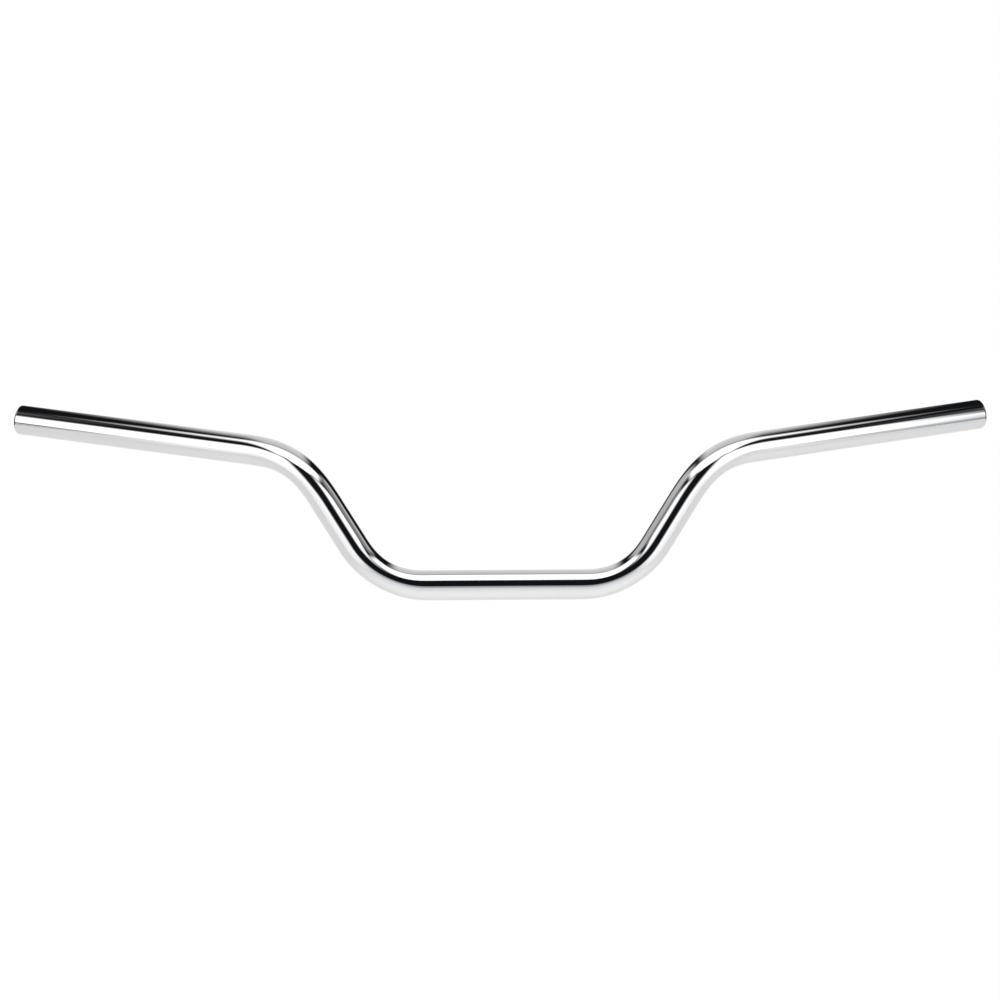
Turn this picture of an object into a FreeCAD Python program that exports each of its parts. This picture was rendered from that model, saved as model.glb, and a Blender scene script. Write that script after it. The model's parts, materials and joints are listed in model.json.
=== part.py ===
"""Tracker handlebar: one length of round steel tube, bent four times, open at both ends.

The tube is laid out the way a bender makes it. From the middle of the clamp run it is fed
straight, bent up into the riser, fed straight, turned about its own axis, bent again into
the grip and fed straight to its open end. The left half mirrors the right half. Each bend
flattens the tube a little, most in its middle, and the wall keeps its thickness.

Frame: the origin is on the tube's axis in the middle of the clamp run, +X runs along that
run, +Y is the way the grips sweep back and +Z is up. Lengths are in millimetres, angles in
degrees.
"""
import FreeCAD
import Part
import Sketcher
import math
import os

DRIVING_SIZES = {
    "tube_diameter": 22.2,
    "wall_thickness": 2.1,
    "clamp_length": 118.5,
    "bend_radius": 62.0,
    "riser_bend_angle": 58.0,
    "riser_length": 48.0,
    "sweep_turn_angle": 30.0,
    "grip_bend_angle": 54.0,
    "grip_length": 200.5,
    "bend_flattening": 0.074,
    "end_rounding": 1.5,
    "mouth_chamfer": 0.4,
}

# A bend is drawn through this many equal spans between its two round ends.
SPANS_PER_BEND = 4

# The rounding and the chamfer of the tube's end share its wall, and take no more of it than this.
ROUNDING_SHARE = 0.75
CHAMFER_SHARE = 0.2

# A sketch counts its geometry: the origin point, the upright axis, and the points of a curve.
ORIGIN_INDICES = (-1, 1)
UPRIGHT_AXIS_INDEX = -2
START_INDEX = 1
END_INDEX = 2
CENTRE_INDEX = 3

document = FreeCAD.newDocument("tracker_handlebar")
sheet = document.addObject("Spreadsheet::Sheet", "sizes")
for row, (alias, number) in enumerate(DRIVING_SIZES.items(), start=1):
    sheet.set(f"A{row}", alias)
    sheet.set(f"B{row}", str(number))
    sheet.setAlias(f"B{row}", alias)
document.recompute()

body = document.addObject("PartDesign::Body", "handlebar_tube")
body.Label = "handlebar_tube"
origin_planes = {feature.Role: feature for feature in body.Origin.OriginFeatures}

# Formulas that several dimensions share.
OUTER_RADIUS = "sizes.tube_diameter / 2"
BORE_RADIUS = f"({OUTER_RADIUS} - sizes.wall_thickness)"
END_ROUNDING = f"min(sizes.end_rounding; {ROUNDING_SHARE} * sizes.wall_thickness)"
MOUTH_CHAMFER = f"min(sizes.mouth_chamfer; {CHAMFER_SHARE} * sizes.wall_thickness)"


def moved(along):
    """Return the formula of a frame moved on along the tube's axis."""
    return f"placement(vector(0; 0; {along}); rotation(vector(0; 0; 1); 0))"


def turned(angle):
    """Return the formula of a frame turned about the tube's axis."""
    return f"placement(vector(0; 0; 0); rotation(vector(0; 0; 1); {angle}))"


def bent(angle):
    """Return the formula of a frame carried round a bend, whose centre lies on its +Y."""
    centre = "vector(0; sizes.bend_radius; 0)"
    return f"placement(vector(0; 0; 0); rotation(vector(1; 0; 0); -({angle})); {centre})"


def chain(*frames):
    """Return the formula of several frames, each placed in the one before it."""
    return " * ".join(frames)


# Frames where one stretch of the tube ends and the next one starts, in the axes of the YZ
# plane. In each, +Z runs on along the axis and +Y points at the next bend's centre. The half
# turn before the upper bend makes it curve the other way, and the rest sweeps the grip back.
CLAMP_MIDDLE = moved("0")
CLAMP_END = moved("sizes.clamp_length / 2")
RISER_START = chain(CLAMP_END, bent("sizes.riser_bend_angle"))
RISER_END = chain(RISER_START, moved("sizes.riser_length"), turned("180 + sizes.sweep_turn_angle"))
GRIP_START = chain(RISER_END, bent("sizes.grip_bend_angle"))

# Lays a sketch's +X along the tube's axis, so that it shows the tube from the side.
SIDE_ON = "placement(vector(0; 0; 0); rotation(vector(0; 1; 0); -90))"


def evaluate(formula):
    """Return a formula's number, used to draw a sketch at its final size."""
    return float(body.evalExpression(formula))


def sketch_in(frame, name):
    """Add a sketch with its origin and axes in a frame along the tube."""
    sketch = body.newObject("Sketcher::SketchObject", name)
    sketch.AttachmentSupport = [(origin_planes["YZ_Plane"], "")]
    sketch.MapMode = "FlatFace"
    sketch.setExpression("AttachmentOffset", frame)
    return sketch


def dimension(sketch, name, formula, kind, *geometry):
    """Add a named dimension to a sketch and bind it to its formula."""
    index = sketch.addConstraint(Sketcher.Constraint(kind, *geometry, body.evalExpression(formula)))
    sketch.renameConstraint(index, name)
    sketch.setExpression(f"Constraints.{name}", formula)


def round_section(frame, name):
    """Add the tube's round section: its outside and its bore."""
    sketch = sketch_in(frame, name)
    for wall, radius in (("outside", OUTER_RADIUS), ("bore", BORE_RADIUS)):
        circle = Part.Circle(FreeCAD.Vector(), FreeCAD.Vector(0, 0, 1), evaluate(radius))
        ring = sketch.addGeometry(circle)
        sketch.addConstraint(Sketcher.Constraint("Coincident", ring, CENTRE_INDEX, *ORIGIN_INDICES))
        dimension(sketch, f"{wall}_radius", radius, "Radius", ring)
    return sketch


def flattened_section(frame, name, share):
    """Add the tube's section in a bend, narrow towards the bend's centre and wide across it."""
    sketch = sketch_in(frame, name)
    flattening = f"{share} * sizes.bend_flattening"
    for wall, inset in (("outside", "0"), ("bore", "sizes.wall_thickness")):
        across = f"2 * ({OUTER_RADIUS} * (1 + {flattening}) - {inset})"
        inward = f"2 * ({OUTER_RADIUS} * (1 - {flattening}) - {inset})"
        ellipse = Part.Ellipse(FreeCAD.Vector(), evaluate(across) / 2, evaluate(inward) / 2)
        ring = sketch.addGeometry(ellipse)
        sketch.exposeInternalGeometry(ring)
        major_axis = ring + 1
        minor_axis = ring + 2
        sketch.addConstraint(Sketcher.Constraint("Coincident", ring, CENTRE_INDEX, *ORIGIN_INDICES))
        sketch.addConstraint(Sketcher.Constraint("Horizontal", major_axis))
        dimension(sketch, f"{wall}_across", across, "Distance", major_axis)
        dimension(sketch, f"{wall}_inward", inward, "Distance", minor_axis)
    return sketch


def bend_path(frame, name, angle):
    """Add the arc that the tube's axis follows round a bend."""
    sketch = sketch_in(chain(frame, SIDE_ON), name)
    radius = evaluate("sizes.bend_radius")
    circle = Part.Circle(FreeCAD.Vector(0, radius, 0), FreeCAD.Vector(0, 0, 1), radius)
    lowest = -math.pi / 2
    swept = math.radians(evaluate(angle))
    arc = sketch.addGeometry(Part.ArcOfCircle(circle, lowest, lowest + swept))
    sketch.addConstraint(Sketcher.Constraint("Coincident", arc, START_INDEX, *ORIGIN_INDICES))
    sketch.addConstraint(Sketcher.Constraint("PointOnObject", arc, CENTRE_INDEX, UPRIGHT_AXIS_INDEX))
    dimension(sketch, "radius", "sizes.bend_radius", "Radius", arc)
    dimension(sketch, "angle", f"{angle} * 1 deg", "Angle", arc)
    return sketch


def bend(frame, name, angle):
    """Add a bend that flattens the tube towards its middle and lets it out round again."""
    path = bend_path(frame, f"{name}_path", angle)
    start = round_section(frame, f"{name}_start")
    sections = []
    for station in range(1, SPANS_PER_BEND):
        done = station / SPANS_PER_BEND
        share = math.sin(math.pi * done) ** 2
        there = chain(frame, bent(f"{done} * {angle}"))
        sections.append(flattened_section(there, f"{name}_station_{station}", share))
    sections.append(round_section(chain(frame, bent(angle)), f"{name}_finish"))
    pipe = body.newObject("PartDesign::AdditivePipe", name)
    pipe.Profile = start
    pipe.Spine = (path, ["Edge1"])
    pipe.Transformation = "Multisection"
    pipe.Sections = sections
    document.recompute()
    return pipe


def straight_run(frame, name, length, both_ways=False):
    """Add a straight run of tube that starts, or has its middle, at a frame."""
    section = round_section(frame, f"{name}_section")
    pad = body.newObject("PartDesign::Pad", name)
    pad.Profile = section
    pad.SideType = "Symmetric" if both_ways else "One side"
    pad.setExpression("Length", length)
    document.recompute()
    return pad


def grip_run(frame, name):
    """Add the last run, its wall turned about the axis, rounded outside and eased at the mouth."""
    sketch = sketch_in(chain(frame, SIDE_ON), f"{name}_wall")
    length = evaluate("sizes.grip_length")
    outside = evaluate(OUTER_RADIUS)
    inside = evaluate(BORE_RADIUS)
    rounding = evaluate(END_ROUNDING)
    chamfer = evaluate(MOUTH_CHAMFER)
    corners = [
        FreeCAD.Vector(0, inside, 0),
        FreeCAD.Vector(length - chamfer, inside, 0),
        FreeCAD.Vector(length, inside + chamfer, 0),
        FreeCAD.Vector(length, outside - rounding, 0),
    ]
    bore, mouth, face = (
        sketch.addGeometry(Part.LineSegment(first, second))
        for first, second in zip(corners, corners[1:])
    )
    middle = FreeCAD.Vector(length - rounding, outside - rounding, 0)
    circle = Part.Circle(middle, FreeCAD.Vector(0, 0, 1), rounding)
    edge = sketch.addGeometry(Part.ArcOfCircle(circle, 0, math.pi / 2))
    top = FreeCAD.Vector(length - rounding, outside, 0)
    root = FreeCAD.Vector(0, outside, 0)
    skin = sketch.addGeometry(Part.LineSegment(top, root))
    seam = sketch.addGeometry(Part.LineSegment(root, corners[0]))
    sketch.addConstraint([
        Sketcher.Constraint("Horizontal", bore),
        Sketcher.Constraint("Coincident", bore, END_INDEX, mouth, START_INDEX),
        Sketcher.Constraint("Coincident", mouth, END_INDEX, face, START_INDEX),
        Sketcher.Constraint("Vertical", face),
        Sketcher.Constraint("Tangent", face, END_INDEX, edge, START_INDEX),
        Sketcher.Constraint("Tangent", edge, END_INDEX, skin, START_INDEX),
        Sketcher.Constraint("Horizontal", skin),
        Sketcher.Constraint("Coincident", skin, END_INDEX, seam, START_INDEX),
        Sketcher.Constraint("Coincident", seam, END_INDEX, bore, START_INDEX),
        Sketcher.Constraint("PointOnObject", seam, START_INDEX, UPRIGHT_AXIS_INDEX),
        Sketcher.Constraint("PointOnObject", seam, END_INDEX, UPRIGHT_AXIS_INDEX),
    ])
    dimension(sketch, "bore_radius", BORE_RADIUS, "DistanceY", *ORIGIN_INDICES, bore, START_INDEX)
    dimension(sketch, "outside_radius", OUTER_RADIUS, "DistanceY", *ORIGIN_INDICES, skin, END_INDEX)
    dimension(sketch, "length", "sizes.grip_length", "DistanceX", *ORIGIN_INDICES, face, START_INDEX)
    dimension(sketch, "rounding", END_ROUNDING, "Radius", edge)
    dimension(sketch, "chamfer_depth", MOUTH_CHAMFER, "DistanceX", mouth, START_INDEX, mouth, END_INDEX)
    dimension(sketch, "chamfer_rise", MOUTH_CHAMFER, "DistanceY", mouth, START_INDEX, mouth, END_INDEX)
    turning = body.newObject("PartDesign::Revolution", name)
    turning.Profile = sketch
    turning.ReferenceAxis = (sketch, ["H_Axis"])
    turning.Angle = 360
    document.recompute()
    return turning


def mirrored(name, features):
    """Add the left half as the mirror image of the right half's features."""
    mirror = body.newObject("PartDesign::Mirrored", name)
    mirror.Originals = features
    mirror.MirrorPlane = (origin_planes["YZ_Plane"], [""])
    body.Tip = mirror
    document.recompute()
    return mirror


straight_run(CLAMP_MIDDLE, "clamp_run", "sizes.clamp_length", both_ways=True)
right_half = [
    bend(CLAMP_END, "lower_bend", "sizes.riser_bend_angle"),
    straight_run(RISER_START, "riser_run", "sizes.riser_length"),
    bend(RISER_END, "upper_bend", "sizes.grip_bend_angle"),
    grip_run(GRIP_START, "grip_run"),
]
mirrored("left_half", right_half)

for item in document.Objects:
    if "Invalid" in item.State or "Error" in item.State:
        raise RuntimeError(f"{item.Label} was not built: {item.State}")
if body.Shape.isNull() or not body.Shape.isValid() or len(body.Shape.Solids) != 1:
    raise RuntimeError(f"{body.Label} is not one valid solid")

os.makedirs("parts", exist_ok=True)
body.Shape.exportStep(os.path.join("parts", f"{body.Label}.step"))
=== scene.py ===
"""Chrome tracker handlebar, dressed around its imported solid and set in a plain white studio."""
import json
import logging
import math
from dataclasses import dataclass, field
from enum import Enum, IntEnum
from typing import Iterable

import bmesh
import bpy
from bmesh.types import BMEdge, BMesh, BMLayerItem, BMVert
from mathutils import Matrix, Vector


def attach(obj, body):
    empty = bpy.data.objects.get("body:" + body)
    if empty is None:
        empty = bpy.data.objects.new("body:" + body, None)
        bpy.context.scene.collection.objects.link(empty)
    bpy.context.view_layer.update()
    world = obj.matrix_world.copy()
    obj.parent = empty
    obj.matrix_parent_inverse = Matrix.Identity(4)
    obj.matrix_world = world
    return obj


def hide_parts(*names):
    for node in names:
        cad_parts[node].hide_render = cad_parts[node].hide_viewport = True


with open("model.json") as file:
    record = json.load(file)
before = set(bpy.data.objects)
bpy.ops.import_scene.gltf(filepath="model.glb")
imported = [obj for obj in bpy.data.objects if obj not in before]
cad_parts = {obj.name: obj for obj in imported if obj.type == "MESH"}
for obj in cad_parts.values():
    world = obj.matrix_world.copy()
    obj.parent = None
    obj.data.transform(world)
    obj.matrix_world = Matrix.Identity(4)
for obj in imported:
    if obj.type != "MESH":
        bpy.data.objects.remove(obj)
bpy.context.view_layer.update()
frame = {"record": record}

LOG = logging.getLogger("handlebar")
MM = 0.001
TUBE_NODE = "handlebar_tube"
UNBENT = "unbent_place"
CARD_MAP = "card_place"
MERGE_DISTANCE = 1e-6
AXES_AT_MIDDLE = ((0, 1, 0), (0, 0, 1), (1, 0, 0))
Colour = tuple[float, float, float]


class Skin(IntEnum):
    """The tube's two surfaces, in the order of its material slots."""

    PLATED = 0
    BORE = 1


class ColourMix(IntEnum):
    """The sockets of a Mix node that blends colours, by number, since their names repeat."""

    SHARE = 0
    LOW = 6
    HIGH = 7
    RESULT = 2


class Side(Enum):
    """The two sides of the set, as the camera sees them, and their signs along X."""

    LEFT = -1.0
    RIGHT = 1.0

    def card(self, kind: str) -> str:
        """Return the name of this side's card of a kind."""
        return f"{self.name.lower()}_{kind}"


class NodeBoard:
    """A material's node tree, with short ways to add and join its nodes."""

    def __init__(self, name: str) -> None:
        """Start an empty node tree.

        Args:
            name: the material's name.
        """
        self.material = bpy.data.materials.new(name)
        self.material.use_nodes = True
        self.tree = self.material.node_tree
        self.tree.nodes.clear()
        self.output = self.tree.nodes.new("ShaderNodeOutputMaterial")

    def add(self, kind: str, **settings: object) -> bpy.types.Node:
        """Add a node.

        Args:
            kind: the node's Blender type.
            settings: properties of the node, or values of inputs by name with spaces as underscores.

        Returns:
            The new node.
        """
        node = self.tree.nodes.new(kind)
        for key, value in settings.items():
            if key in node.bl_rna.properties:
                setattr(node, key, value)
            else:
                node.inputs[key.replace("_", " ")].default_value = value
        return node

    def join(self, source: bpy.types.NodeSocket, target: bpy.types.NodeSocket) -> None:
        """Link an output socket to an input socket."""
        self.tree.links.new(source, target)

    def fill(self, node: bpy.types.Node, *sources: bpy.types.NodeSocket) -> None:
        """Link output sockets to a node's inputs, in order."""
        for source, target in zip(sources, node.inputs):
            self.join(source, target)

    def mix_colours(self, share: bpy.types.NodeSocket, low: Colour, high: Colour) -> bpy.types.NodeSocket:
        """Blend two colours.

        Args:
            share: the socket that gives the share of the second colour.
            low: the colour at a share of 0.
            high: the colour at a share of 1.

        Returns:
            The socket that gives the blended colour.
        """
        blend = self.add("ShaderNodeMix", data_type="RGBA")
        self.join(share, blend.inputs[ColourMix.SHARE])
        blend.inputs[ColourMix.LOW].default_value = (*low, 1.0)
        blend.inputs[ColourMix.HIGH].default_value = (*high, 1.0)
        return blend.outputs[ColourMix.RESULT]

    def noise(self, place: bpy.types.NodeSocket, scale: float, detail: float) -> bpy.types.NodeSocket:
        """Spread noise over a surface.

        Args:
            place: the socket that gives the place on the surface.
            scale: the number of spots per metre.
            detail: the number of finer layers.

        Returns:
            The socket that gives the noise, from 0 to 1.
        """
        texture = self.add("ShaderNodeTexNoise", Scale=scale, Detail=detail)
        self.join(place, texture.inputs["Vector"])
        return texture.outputs["Fac"]

    def stretched(self, place: bpy.types.NodeSocket, scale: Vector) -> bpy.types.NodeSocket:
        """Stretch or squeeze a surface's places along the axes.

        Args:
            place: the socket that gives the place on the surface.
            scale: the scale along each axis.

        Returns:
            The socket that gives the scaled place.
        """
        mapping = self.add("ShaderNodeMapping", Scale=scale)
        self.join(place, mapping.inputs["Vector"])
        return mapping.outputs["Vector"]

    def show(self, shader: bpy.types.NodeSocket) -> bpy.types.Material:
        """Link a shader to the output and return the material."""
        self.join(shader, self.output.inputs["Surface"])
        return self.material


@dataclass(frozen=True)
class ChromePlate:
    """Bright chrome plate, buffed round the tube before plating."""

    bright: Colour = (0.67, 0.67, 0.675)
    dim: Colour = (0.645, 0.645, 0.65)
    smoothest: float = 0.052
    roughest: float = 0.068
    buffing_lines_per_m: float = 900.0
    buffing_detail: float = 2.0
    buffing_stretch: float = 0.02
    cloud_per_m: float = 45.0
    cloud_detail: float = 3.0
    ripple_per_m: float = 38.0
    ripple_detail: float = 1.0
    ripple_depth: float = 0.012 * MM

    def material(self) -> bpy.types.Material:
        """Mix the plate out of its clouds, its buffing lines and its faint ripple.

        Returns:
            The procedural material.
        """
        board = NodeBoard("bright_chrome_plate")
        place = board.add("ShaderNodeAttribute", attribute_name=UNBENT).outputs["Vector"]
        cloud = board.noise(place, self.cloud_per_m, self.cloud_detail)
        lines = board.stretched(place, Vector((1.0, self.buffing_stretch, self.buffing_stretch)))
        buffing = board.noise(lines, self.buffing_lines_per_m, self.buffing_detail)
        gloss = board.add("ShaderNodeMapRange", To_Min=self.smoothest, To_Max=self.roughest)
        board.join(buffing, gloss.inputs["Value"])
        relief = board.add("ShaderNodeBump", Strength=1.0, Distance=self.ripple_depth)
        board.join(board.noise(place, self.ripple_per_m, self.ripple_detail), relief.inputs["Height"])
        plate = board.add("ShaderNodeBsdfPrincipled", Metallic=1.0)
        board.join(board.mix_colours(cloud, self.dim, self.bright), plate.inputs["Base Color"])
        board.join(gloss.outputs["Result"], plate.inputs["Roughness"])
        board.join(relief.outputs["Normal"], plate.inputs["Normal"])
        return board.show(plate.outputs["BSDF"])


@dataclass(frozen=True)
class BareBore:
    """Unplated steel inside the tube, drawn lengthwise and dulled by a thin oxide."""

    steel: Colour = (0.34, 0.335, 0.33)
    oxide: Colour = (0.17, 0.145, 0.125)
    metallic: float = 0.6
    smoothest: float = 0.42
    roughest: float = 0.68
    draw_lines_per_m: float = 700.0
    draw_detail: float = 4.0
    draw_stretch: float = 0.05

    def material(self) -> bpy.types.Material:
        """Mix the bore out of bare steel and oxide along its draw lines.

        Returns:
            The procedural material.
        """
        board = NodeBoard("bare_bore_steel")
        place = board.add("ShaderNodeAttribute", attribute_name=UNBENT).outputs["Vector"]
        along = board.stretched(place, Vector((self.draw_stretch, 1.0, 1.0)))
        lines = board.noise(along, self.draw_lines_per_m, self.draw_detail)
        gloss = board.add("ShaderNodeMapRange", To_Min=self.roughest, To_Max=self.smoothest)
        board.join(lines, gloss.inputs["Value"])
        steel = board.add("ShaderNodeBsdfPrincipled", Metallic=self.metallic)
        board.join(board.mix_colours(lines, self.oxide, self.steel), steel.inputs["Base Color"])
        board.join(gloss.outputs["Result"], steel.inputs["Roughness"])
        return board.show(steel.outputs["BSDF"])


@dataclass(frozen=True)
class Bend:
    """A bend on two fixed straight lines, whose curvature builds up and dies away over a short easing.

    It passes through the same middle point as a plain arc of the named radius. An easing of length L
    moves an arc of radius R inward by L * L / 24 R, which is where the fixed numbers below come from.
    """

    radius: float
    angle: float
    easing: float

    @property
    def middle_radius(self) -> float:
        """The radius between the easings, a little tighter than the plain arc's."""
        rise = 1 - math.cos(self.angle / 2)
        return (self.radius + math.sqrt(self.radius**2 - self.easing**2 / (6 * rise))) / 2

    @property
    def length(self) -> float:
        """The bend's length along the tube's axis."""
        return self.middle_radius * self.angle + self.easing

    @property
    def takes(self) -> float:
        """How much longer the bend is than the plain arc on each of its straight lines."""
        shorter = self.radius - self.middle_radius - self.easing**2 / (24 * self.middle_radius)
        return self.easing / 2 - shorter * math.tan(self.angle / 2)

    def turned(self, along: float) -> float:
        """Work out how far the bend has turned.

        Args:
            along: the length from the bend's start.

        Returns:
            The angle turned through.
        """
        if along > self.length / 2:
            return self.angle - self.turned(self.length - along)
        ramp = min(along, self.easing)
        return (ramp**2 / (2 * self.easing) + along - ramp) / self.middle_radius


@dataclass
class TubeBender:
    """Draws one wall of a tube as a bender makes it: a ring that is fed, turned and bent.

    The frame's +Z runs on along the tube's axis and its +Y points at the next bend's centre.
    """

    mesh: BMesh
    radius: float
    segments: int
    frame: Matrix = field(default_factory=lambda: Matrix(AXES_AT_MIDDLE).transposed().to_4x4())
    ring: list[BMEdge] = field(default_factory=list)
    drawn: float = 0.0

    def __post_init__(self) -> None:
        """Draw the first ring, square to the frame's axis."""
        made = bmesh.ops.create_circle(self.mesh, segments=self.segments, radius=self.radius)
        for vert in made["verts"]:
            vert[self.unbent] = (0.0, vert.co.x, vert.co.y)
        self.ring = list({edge for vert in made["verts"] for edge in vert.link_edges})
        bmesh.ops.transform(self.mesh, matrix=self.frame, verts=made["verts"])

    @property
    def unbent(self) -> BMLayerItem:
        """The layer that keeps each vertex's place on the straight tube, before bending."""
        return self.mesh.verts.layers.float_vector[UNBENT]

    def _verts(self) -> list[BMVert]:
        """Return the vertices of the ring."""
        return list({vert for edge in self.ring for vert in edge.verts})

    def _mark(self, length: float) -> None:
        """Move the ring's place on the straight tube on.

        Args:
            length: the length drawn since the last ring.
        """
        self.drawn += length
        for vert in self._verts():
            vert[self.unbent].x = self.drawn

    def step(self, along: float, ratio: float = 1.0) -> None:
        """Extrude the ring once.

        Args:
            along: distance along the axis.
            ratio: the new ring's radius over the old one's.
        """
        made = bmesh.ops.extrude_edge_only(self.mesh, edges=self.ring)
        self.ring = [item for item in made["geom"] if isinstance(item, BMEdge) and len(item.link_faces) == 1]
        bmesh.ops.translate(self.mesh, vec=self.frame.to_3x3().col[2] * along, verts=self._verts())
        self.frame = self.frame @ Matrix.Translation((0, 0, along))
        bmesh.ops.scale(self.mesh, vec=(ratio, ratio, 1), space=self.frame.inverted(), verts=self._verts())
        self._mark(along)

    def feed(self, length: float, pace: float, hold: float) -> None:
        """Draw a straight run, with a close ring at both ends so that its shading stays straight.

        Args:
            length: the run's length.
            pace: the longest step between rings.
            hold: the distance of the close rings from the run's ends.
        """
        between = length - 2 * hold
        steps = math.ceil(between / pace)
        self.step(hold)
        for _ in range(steps):
            self.step(between / steps)
        self.step(hold)

    def turn(self, angle: float) -> None:
        """Turn the tube about its own axis, which points the next bend elsewhere."""
        self.frame = self.frame @ Matrix.Rotation(angle, 4, "Z")

    def bend(self, bend: Bend, flattening: float, pace: float) -> None:
        """Draw a bend whose section flattens towards its middle.

        Args:
            bend: the bend's radius, angle and easing.
            flattening: the share of the tube's radius that its middle loses towards the bend's centre.
            pace: the longest step between rings.
        """
        steps = math.ceil(bend.length / pace)
        along = bend.length / steps
        turned = 0.0
        flat = 0.0
        for done in range(1, steps + 1):
            angle = bend.turned(along * done) - turned
            flatter = flattening * math.sin(math.pi * done / steps) ** 2
            centre = self.frame @ Vector((0, along / angle, 0))
            axis = -self.frame.to_3x3().col[0]
            made = bmesh.ops.spin(
                self.mesh, geom=self.ring, cent=centre, axis=axis, angle=angle, steps=1, use_merge=False
            )
            self.ring = [item for item in made["geom_last"] if isinstance(item, BMEdge)]
            self.frame = (
                Matrix.Translation(centre)
                @ Matrix.Rotation(angle, 4, axis)
                @ Matrix.Translation(-centre)
                @ self.frame
            )
            squeeze = ((1 + flatter) / (1 + flat), (1 - flatter) / (1 - flat), 1)
            bmesh.ops.scale(self.mesh, vec=squeeze, space=self.frame.inverted(), verts=self._verts())
            self._mark(along)
            turned += angle
            flat = flatter


@dataclass
class HandlebarTube:
    """The whole bar: one tube, bent four times, open at both ends.

    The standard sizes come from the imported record. The bends, the riser and the ends repeat the part's
    source, and the easings are the scene's own.
    """

    outer_radius: float
    bore_radius: float
    clamp_length: float
    grip_length: float
    bend_radius: float = 62.0 * MM
    riser_bend: float = math.radians(58.0)
    riser_easing: float = 10.0 * MM
    riser_length: float = 48.0 * MM
    sweep_turn: float = math.radians(30.0)
    grip_bend: float = math.radians(54.0)
    grip_easing: float = 30.0 * MM
    flattening: float = 0.074
    end_rounding: float = 1.5 * MM
    mouth_chamfer: float = 0.4 * MM
    segments: int = 128
    straight_pace: float = 12.0 * MM
    hold: float = 0.3 * MM
    bend_pace: float = 2.0 * MM
    rounding_steps: int = 6
    sharp_angle: float = math.radians(35.0)

    @classmethod
    def from_record(cls, record: dict) -> "HandlebarTube":
        """Take the tube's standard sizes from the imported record's mounts.

        Args:
            record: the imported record.

        Returns:
            The tube with its sizes set.
        """
        mounts = {mount["name"]: mount["dims"] for mount in record["mounts"]}
        return cls(
            outer_radius=mounts["centre_clamp"]["r_mm"] * MM,
            bore_radius=mounts["right_end_bore"]["r_mm"] * MM,
            clamp_length=mounts["centre_clamp"]["length_mm"] * MM,
            grip_length=mounts["right_grip"]["length_mm"] * MM + cls.end_rounding,
        )

    def _run(self, bender: TubeBender, wall: float, last_run: float) -> None:
        """Draw the right half of one wall, from the middle of the clamp run to its end.

        Args:
            bender: the bender, with its first ring drawn.
            wall: how far this wall lies inside the tube's outside.
            last_run: the length of the grip run.
        """
        share = self.flattening * self.outer_radius / (self.outer_radius - wall)
        lower = Bend(self.bend_radius, self.riser_bend, self.riser_easing)
        upper = Bend(self.bend_radius, self.grip_bend, self.grip_easing)
        bender.feed(self.clamp_length / 2 - lower.takes, self.straight_pace, self.hold)
        bender.bend(lower, share, self.bend_pace)
        bender.feed(self.riser_length - lower.takes - upper.takes, self.straight_pace, self.hold)
        bender.turn(math.pi + self.sweep_turn)
        bender.bend(upper, share, self.bend_pace)
        bender.feed(last_run - upper.takes, self.straight_pace, self.hold)

    def _end(self, bender: TubeBender) -> None:
        """Close the outside wall over the rounded edge and the flat end to the eased mouth.

        Args:
            bender: the outside's bender, at the end of its last run.
        """
        radius = self.outer_radius
        reach = 0.0
        for step in range(1, self.rounding_steps + 1):
            angle = math.pi / 2 * step / self.rounding_steps
            new_radius = self.outer_radius - self.end_rounding * (1 - math.cos(angle))
            new_reach = self.end_rounding * math.sin(angle)
            bender.step(new_reach - reach, new_radius / radius)
            radius = new_radius
            reach = new_reach
        bender.step(0.0, (self.bore_radius + self.mouth_chamfer) / radius)
        bender.step(-self.mouth_chamfer, self.bore_radius / (self.bore_radius + self.mouth_chamfer))

    def build(self) -> bpy.types.Object:
        """Draw the outside and the bore of the right half, join them and mirror them to the left.

        Returns:
            The tube's mesh object, one closed wall.
        """
        mesh = bmesh.new()
        mesh.verts.layers.float_vector.new(UNBENT)
        outside = TubeBender(mesh, self.outer_radius, self.segments)
        self._run(outside, 0.0, self.grip_length - self.end_rounding)
        self._end(outside)
        bore = TubeBender(mesh, self.bore_radius, self.segments)
        self._run(bore, self.outer_radius - self.bore_radius, self.grip_length - self.mouth_chamfer)
        bmesh.ops.remove_doubles(mesh, verts=mesh.verts, dist=MERGE_DISTANCE)
        half = mesh.verts[:] + mesh.edges[:] + mesh.faces[:]
        bmesh.ops.mirror(mesh, geom=half, matrix=Matrix.Identity(4), merge_dist=MERGE_DISTANCE, axis="X")
        bmesh.ops.recalc_face_normals(mesh, faces=mesh.faces)
        self._mark_skins(mesh)
        data = bpy.data.meshes.new("chrome_handlebar")
        mesh.to_mesh(data)
        mesh.free()
        piece = bpy.data.objects.new("chrome_handlebar", data)
        bpy.context.scene.collection.objects.link(piece)
        return piece

    def _mark_skins(self, mesh: BMesh) -> None:
        """Sign the unbent places by side, set each face's surface and keep only the mouth's edges crisp.

        Args:
            mesh: the whole tube's mesh.
        """
        unbent = mesh.verts.layers.float_vector.get(UNBENT)
        middle_of_wall = (self.outer_radius + self.bore_radius) / 2
        for vert in mesh.verts:
            vert[unbent].x = math.copysign(vert[unbent].x, vert.co.x)
        for face in mesh.faces:
            radii = [vert[unbent].yz.length for vert in face.verts]
            face.material_index = Skin.BORE if max(radii) < middle_of_wall else Skin.PLATED
            face.smooth = True
        for edge in mesh.edges:
            edge.smooth = edge.calc_face_angle(0.0) < self.sharp_angle

    def dress(self, piece: bpy.types.Object, plate: ChromePlate, bore: BareBore) -> None:
        """Give the tube its finishes and tie it to the frame.

        Args:
            piece: the tube's mesh object.
            plate: the outside's finish.
            bore: the inside's finish.
        """
        piece.data.materials.append(plate.material())
        piece.data.materials.append(bore.material())
        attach(piece, "root")
        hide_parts(TUBE_NODE)


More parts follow.
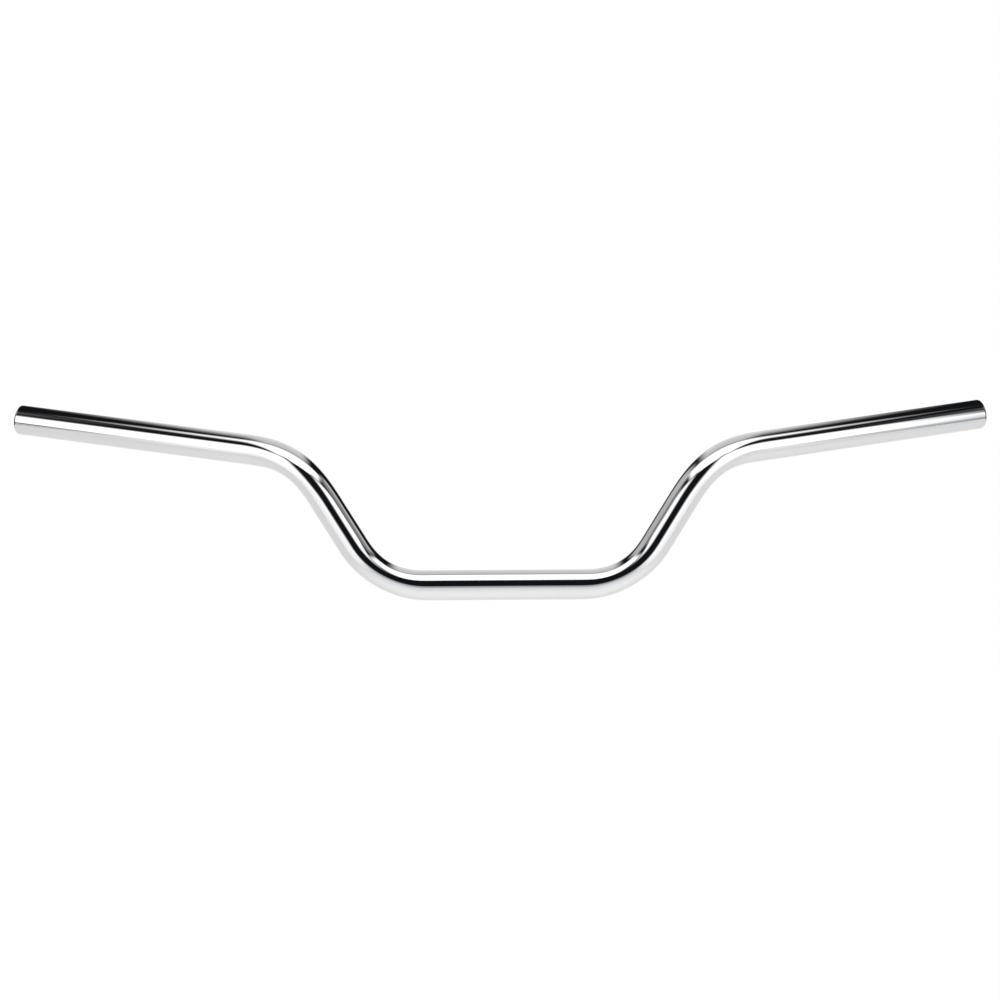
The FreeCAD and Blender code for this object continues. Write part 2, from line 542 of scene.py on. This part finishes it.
def seen_directly(tree: bpy.types.NodeTree) -> bpy.types.NodeSocket:
    """Return a socket that is 1 for what the camera, metal and glass see, and 0 for diffuse light.

    Args:
        tree: the node tree to add the nodes to.

    Returns:
        The socket.
    """
    path = tree.nodes.new("ShaderNodeLightPath")
    seen = path.outputs["Is Camera Ray"]
    for kind in ("Is Glossy Ray", "Is Transmission Ray"):
        either = tree.nodes.new("ShaderNodeMath")
        either.operation = "MAXIMUM"
        for source, target in zip((seen, path.outputs[kind]), either.inputs):
            tree.links.new(source, target)
        seen = either.outputs["Value"]
    return seen


@dataclass(frozen=True)
class WhiteFloor:
    """Pale paint that shows white to the camera and in the chrome, and still takes a shadow."""

    glow: float = 0.5
    paint: Colour = (0.5, 0.5, 0.5)

    def material(self) -> bpy.types.Material:
        """Add the glow that is seen to the paint that is lit.

        Returns:
            The floor's material.
        """
        board = NodeBoard("white_floor_paint")
        level = board.add("ShaderNodeMapRange", To_Max=self.glow)
        board.join(seen_directly(board.tree), level.inputs["Value"])
        glow = board.add("ShaderNodeEmission")
        board.join(level.outputs["Result"], glow.inputs["Strength"])
        paint = board.add("ShaderNodeBsdfDiffuse", Color=(*self.paint, 1.0))
        both = board.add("ShaderNodeAddShader")
        board.fill(both, glow.outputs["Emission"], paint.outputs["BSDF"])
        return board.show(both.outputs["Shader"])


def flat_sheet(place: Matrix) -> BMesh:
    """Draw a flat square with sides of 1 m, mapped from 0 to 1, then size and place it.

    Args:
        place: the sheet's size and place.

    Returns:
        The sheet's mesh.
    """
    mesh = bmesh.new()
    mesh.loops.layers.uv.new(CARD_MAP)
    bmesh.ops.create_grid(mesh, x_segments=1, y_segments=1, size=0.5, calc_uvs=True)
    bmesh.ops.transform(mesh, matrix=place, verts=mesh.verts)
    return mesh


def stage_object(name: str, mesh: BMesh) -> bpy.types.Object:
    """Make an object of the stage out of a mesh under construction.

    Args:
        name: the object's name.
        mesh: the mesh, which is used up.

    Returns:
        The new object, in the scene and marked as stage.
    """
    data = bpy.data.meshes.new(name)
    mesh.to_mesh(data)
    mesh.free()
    made = bpy.data.objects.new(name, data)
    bpy.context.scene.collection.objects.link(made)
    return made


def show_in_reflections_only(made: bpy.types.Object) -> None:
    """Hide a stage object from all but the reflections.

    Args:
        made: the object.
    """
    made.visible_camera = False
    made.visible_diffuse = False
    made.visible_transmission = False
    made.visible_shadow = False


@dataclass(frozen=True, kw_only=True)
class CardFace:
    """The face of a studio card: an even or graded glow that fades out towards its edges."""

    name: str
    width: float
    height: float
    border: float
    near_strength: float
    far_strength: float
    tint: Colour

    def material(self) -> bpy.types.Material:
        """Let the glow cover the card inside its borders.

        Returns:
            The face's material.
        """
        board = NodeBoard(self.name)
        place = board.add("ShaderNodeUVMap", uv_map=CARD_MAP)
        axes = board.add("ShaderNodeSeparateXYZ")
        board.join(place.outputs["UV"], axes.inputs["Vector"])
        across = self._fade(board, axes.outputs["X"], self.border / self.width)
        along = self._fade(board, axes.outputs["Y"], self.border / self.height)
        cover = board.add("ShaderNodeMath", operation="MULTIPLY")
        board.fill(cover, across, along)
        grade = board.add("ShaderNodeMapRange", To_Min=self.near_strength, To_Max=self.far_strength)
        board.join(axes.outputs["Y"], grade.inputs["Value"])
        glow = board.add("ShaderNodeEmission", Color=(*self.tint, 1.0))
        board.join(grade.outputs["Result"], glow.inputs["Strength"])
        clear = board.add("ShaderNodeBsdfTransparent")
        blend = board.add("ShaderNodeMixShader")
        board.fill(blend, cover.outputs["Value"], clear.outputs["BSDF"], glow.outputs["Emission"])
        return board.show(blend.outputs["Shader"])

    def _fade(self, board: NodeBoard, across: bpy.types.NodeSocket, border: float) -> bpy.types.NodeSocket:
        """Return how far the face has come in from its two edges across one direction.

        Args:
            board: the face's node tree.
            across: the place across the card, from 0 to 1.
            border: the share of the card over which an edge fades.

        Returns:
            The socket that gives 0 at both edges and 1 inside the borders.
        """
        inward = board.add("ShaderNodeMath", operation="PINGPONG")
        place, middle, _ = inward.inputs
        board.join(across, place)
        middle.default_value = 0.5
        fade = board.add("ShaderNodeMapRange", interpolation_type="SMOOTHSTEP", From_Max=border)
        board.join(inward.outputs["Value"], fade.inputs["Value"])
        return fade.outputs["Result"]


@dataclass(frozen=True, kw_only=True)
class Card:
    """A flat softbox, sheet or card of the studio, which only reflections see.

    It lies level, or stands upright and turns round the upright by its turn in degrees.
    """

    name: str
    centre: tuple[float, float, float]
    width: float
    height: float
    border: float
    strength: float
    far_strength: float | None = None
    upright: bool = False
    turn: float = 0.0
    tint: Colour = (1.0, 1.0, 1.0)

    def build(self) -> bpy.types.Object:
        """Hang the card in its place.

        Returns:
            The card's object, marked as part of the stage.
        """
        place = (
            Matrix.Translation(self.centre)
            @ Matrix.Rotation(math.radians(self.turn), 4, "Z")
            @ Matrix.Rotation(math.pi / 2 if self.upright else 0.0, 4, "X")
            @ Matrix.Diagonal((self.width, self.height, 1, 1))
        )
        card = stage_object(self.name, flat_sheet(place))
        face = CardFace(
            name=f"{self.name}_face",
            width=self.width,
            height=self.height,
            border=self.border,
            near_strength=self.strength,
            far_strength=self.strength if self.far_strength is None else self.far_strength,
            tint=self.tint,
        )
        card.data.materials.append(face.material())
        show_in_reflections_only(card)
        return card


@dataclass
class Studio:
    """White floor and surround, a soft lamp and the cards that the chrome mirrors.

    Lengths are in metres. The cards' turns are in degrees, and a card of strength 1 is white.
    """

    floor_drop: float = 0.5
    floor_width: float = 3.5
    floor_front: float = -1.6
    floor_back: float = 9.0
    room_size: float = 12.0
    room_glow: float = 0.010
    room_tint: Colour = (0.85, 0.95, 1.15)
    softbox: float = 1.7
    softbox_turn: float = 20.0
    overhead_height: float = 0.90
    flag_turn: float = 25.0
    wall_turn: float = 90.0
    cool_tint: Colour = (0.94, 1.0, 1.05)
    # The glows of the painted shade in the gaps under the left and the right softbox.
    left_gap_shade: float = 0.05
    right_gap_shade: float = 0.60
    layer: float = 4.0 * MM
    plain_level: float = 0.5
    lamp_strength: float = 1.8
    lamp_spread: float = math.radians(6.0)
    lamp_lean: float = math.radians(24.0)

    def build(self) -> list[bpy.types.Object]:
        """Set the world, the lamp, the floor, the room and the cards.

        Returns:
            The objects of the stage.
        """
        self._world()
        self._lamp()
        return [self._floor(), self._room(), *(card.build() for card in self._cards())]

    def _world(self) -> None:
        """Paint the world white where it is seen, and let it light the set at a plain level."""
        world = bpy.data.worlds.new("white_studio")
        bpy.context.scene.world = world
        world.use_nodes = True
        tree = world.node_tree
        paint = tree.nodes["Background"]
        paint.inputs["Color"].default_value = (1.0, 1.0, 1.0, 1.0)
        level = tree.nodes.new("ShaderNodeMapRange")
        level.inputs["To Min"].default_value = self.plain_level
        level.inputs["To Max"].default_value = 1.0
        tree.links.new(seen_directly(tree), level.inputs["Value"])
        tree.links.new(level.outputs["Result"], paint.inputs["Strength"])

    def _lamp(self) -> None:
        """Hang a plain soft lamp above and before the bar, which the chrome doesn't show."""
        lamp = bpy.data.lights.new("plain_lamp", "SUN")
        lamp.energy = self.lamp_strength
        lamp.angle = self.lamp_spread
        holder = bpy.data.objects.new("plain_lamp", lamp)
        holder.rotation_euler = (self.lamp_lean, 0.0, 0.0)
        holder.visible_glossy = False
        bpy.context.scene.collection.objects.link(holder)

    def _floor(self) -> bpy.types.Object:
        """Lay the white floor well below the bar.

        Returns:
            The floor's object.
        """
        size = Matrix.Diagonal((self.floor_width, self.floor_back - self.floor_front, 1, 1))
        middle = Matrix.Translation((0, (self.floor_back + self.floor_front) / 2, -self.floor_drop))
        floor = stage_object("white_floor", flat_sheet(middle @ size))
        floor.data.materials.append(WhiteFloor().material())
        return floor

    def _room(self) -> bpy.types.Object:
        """Put a dark room round the set, which only reflections see.

        Returns:
            The room's object.
        """
        mesh = bmesh.new()
        bmesh.ops.create_cube(mesh, size=self.room_size)
        bmesh.ops.reverse_faces(mesh, faces=mesh.faces)
        room = stage_object("dark_room", mesh)
        board = NodeBoard("dark_room_wall")
        glow = board.add("ShaderNodeEmission", Color=(*self.room_tint, 1.0), Strength=self.room_glow)
        room.data.materials.append(board.show(glow.outputs["Emission"]))
        show_in_reflections_only(room)
        return room

    def _cards(self) -> Iterable[Card]:
        """List the cards round the bar.

        Yields:
            Each card of the set.
        """
        yield from self._softboxes()
        yield from self._sheets()
        yield from self._walls()
        yield from self._floor_cards()

    def _softboxes(self) -> Iterable[Card]:
        """Light the bar from above and from both sides, less strongly on the right.

        Yields:
            The softboxes, and the flag and the scrim before the right one.
        """
        yield Card(
            name="overhead_softbox",
            centre=(0.03, -0.47, self.overhead_height),
            width=1.55,
            height=1.08,
            border=0.20,
            strength=self.softbox,
        )
        yield Card(
            name="front_overhead_softbox",
            centre=(0.03, -0.94, self.overhead_height - self.layer),
            width=0.90,
            height=0.58,
            border=0.20,
            strength=self.softbox,
        )
        for side in Side:
            yield Card(
                name=side.card("softbox"),
                centre=(side.value * 1.40, -1.10, 0.30),
                width=2.15,
                height=1.95,
                border=0.40,
                strength=self.softbox,
                upright=True,
                turn=side.value * self.softbox_turn,
            )
        yield Card(
            name="right_flag",
            centre=(1.90, -0.40, 0.72),
            width=1.45,
            height=0.80,
            border=0.20,
            strength=0.09,
            upright=True,
            turn=self.flag_turn,
        )
        yield Card(
            name="right_scrim",
            centre=(1.75, -0.55, 0.05),
            width=0.90,
            height=0.85,
            border=0.25,
            strength=0.95,
            upright=True,
            turn=self.flag_turn,
            tint=self.cool_tint,
        )

    def _sheets(self) -> Iterable[Card]:
        """Hang paper over and behind the bar.

        Yields:
            The sheets.
        """
        yield Card(
            name="ceiling_sheet",
            centre=(0.025, 1.10, 0.95),
            width=1.00,
            height=2.35,
            border=0.25,
            strength=0.75,
            far_strength=1.10,
        )
        yield Card(
            name="back_sheet",
            centre=(0.0, 2.20, 0.35),
            width=1.70,
            height=1.50,
            border=0.40,
            strength=0.70,
            upright=True,
        )

    def _walls(self) -> Iterable[Card]:
        """Stand lit panels at both sides of the set, as walls.

        Yields:
            The panels.
        """
        yield Card(
            name="left_front_wall",
            centre=(-4.00, -2.30, 2.70),
            width=1.75,
            height=1.80,
            border=0.70,
            strength=0.38,
            upright=True,
            turn=self.wall_turn,
        )
        yield Card(
            name="left_back_wall",
            centre=(-1.90, 0.80, 1.75),
            width=3.90,
            height=2.70,
            border=1.20,
            strength=0.70,
            upright=True,
            turn=self.wall_turn,
        )
        yield Card(
            name="right_front_wall",
            centre=(3.20, -0.85, 2.35),
            width=2.45,
            height=2.90,
            border=1.10,
            strength=0.35,
            upright=True,
            turn=self.wall_turn,
        )
        yield Card(
            name="right_back_wall",
            centre=(3.00, 0.60, 2.15),
            width=2.10,
            height=2.50,
            border=0.95,
            strength=0.75,
            upright=True,
            turn=self.wall_turn,
        )

    def _floor_cards(self) -> Iterable[Card]:
        """Paint light and shade on the floor for the chrome to mirror, each place a hair above the last, and
        in the gaps under the sides.

        Yields:
            The painted pools of light and painted shade on the floor, and a card of painted shade in the gap
            under each side softbox.
        """
        floor = -self.floor_drop
        # Painted shade: a card on the floor before the bar, which only the chrome mirrors, darkest at the
        # front and lighter towards the bar.
        yield Card(
            name="front_floor_shade",
            centre=(0.0, -2.90, floor + self.layer),
            width=3.25,
            height=3.85,
            border=0.60,
            strength=0.15,
            far_strength=0.75,
            tint=self.cool_tint,
        )
        # Painted light: a brighter pool on the floor under the bar, which only the chrome mirrors.
        yield Card(
            name="floor_light_pool",
            centre=(0.10, -0.15, floor + 2 * self.layer),
            width=2.10,
            height=1.70,
            border=0.85,
            strength=1.25,
        )
        for side, gap_shade_strength in ((Side.LEFT, self.left_gap_shade), (Side.RIGHT, self.right_gap_shade)):
            yield Card(
                name=side.card("floor_glare"),
                centre=(side.value * 1.20, -0.95, floor + 3 * self.layer),
                width=1.40,
                height=1.15,
                border=0.35,
                strength=1.35,
            )
            yield Card(
                name=side.card("floor_shade"),
                centre=(side.value * 1.70, -0.45, floor + 4 * self.layer),
                width=1.00,
                height=0.80,
                border=0.35,
                strength=0.30,
                tint=self.cool_tint,
            )
            # Painted shade: an upright dark card in the gap under each side softbox, darkest on the left,
            # which only the chrome mirrors.
            yield Card(
                name=side.card("shade_under_softbox"),
                centre=(side.value * 2.00, -0.70, floor + 0.05),
                width=0.95,
                height=0.45,
                border=0.15,
                strength=gap_shade_strength,
                upright=True,
                turn=side.value * self.flag_turn,
                tint=self.cool_tint,
            )


@dataclass(frozen=True)
class ProductCamera:
    """A long lens at the bar's own height, a little to the left of its middle."""

    place: tuple[float, float, float] = (-0.10048, -4.0, 0.0630)
    aim_right: float = 0.02426
    tilt: float = -0.0064
    lens_mm: float = 194.24
    sensor_mm: float = 36.0
    sight: float = 100.0

    def build(self) -> bpy.types.Object:
        """Set the camera up and make it the scene's own.

        Returns:
            The camera's object.
        """
        data = bpy.data.cameras.new("product_camera")
        data.sensor_width = self.sensor_mm
        data.lens = self.lens_mm
        data.clip_end = self.sight
        camera = bpy.data.objects.new("product_camera", data)
        bpy.context.scene.collection.objects.link(camera)
        level = Matrix.Rotation(math.pi / 2, 4, "X")
        camera.matrix_world = (
            Matrix.Translation(self.place)
            @ Matrix.Rotation(-self.aim_right, 4, "Z")
            @ level
            @ Matrix.Rotation(self.tilt, 4, "Z")
        )
        bpy.context.scene.camera = camera
        return camera


def main() -> None:
    """Build the tube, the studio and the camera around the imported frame."""
    logging.basicConfig(level=logging.INFO, format="%(message)s")
    bpy.context.scene.view_settings.view_transform = "Standard"
    tube = HandlebarTube.from_record(frame["record"])
    piece = tube.build()
    tube.dress(piece, ChromePlate(), BareBore())
    LOG.info("%s: %d faces", piece.name, len(piece.data.polygons))
    for made in Studio().build():
        LOG.info("stage: %s", made.name)
    camera = ProductCamera().build()
    LOG.info("%s: %.1f mm lens", camera.name, camera.data.lens)


if __name__ == "__main__":
    main()
